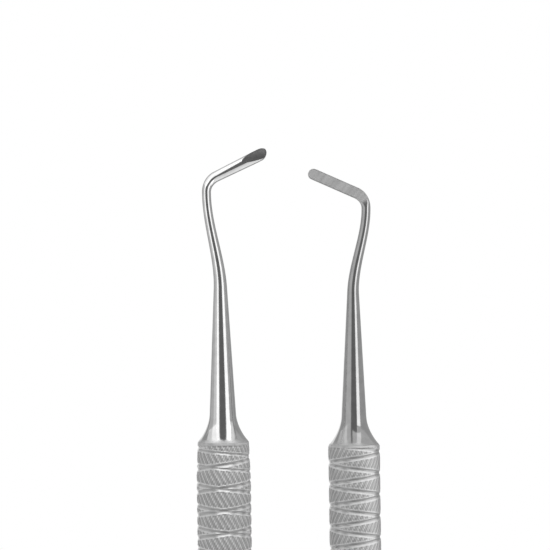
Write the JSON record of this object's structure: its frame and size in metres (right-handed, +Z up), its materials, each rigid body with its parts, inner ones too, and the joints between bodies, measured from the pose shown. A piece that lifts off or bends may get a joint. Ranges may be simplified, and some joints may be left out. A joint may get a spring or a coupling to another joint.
{
  "type": "dental elevator pair",
  "caption": "Matched pair of slim hooked dental elevators: flat-faced blade on a bent tapered shank, pressed into a hollow steel handle with a knurled, cross-grooved grip and a rear plug.",
  "frame": {"origin": "midway between the two handle axes, on the surface that the pair stands on", "axes": "+Z up along the handles towards the blades, +X from the left elevator to the right one, +Y away from the viewer"},
  "size_m": [0.0282, 0.008, 0.1498],
  "materials": {
    "polished_steel": "polished",
    "satin_steel": "satin",
    "turned_steel": "fine turned"
  },
  "bodies": {
    "root": {"left_working_end": "polished_steel", "left_handle": "satin_steel", "left_end_plug": "turned_steel", "right_working_end": "polished_steel", "right_handle": "satin_steel", "right_end_plug": "turned_steel"}
  },
  "joints": []
}
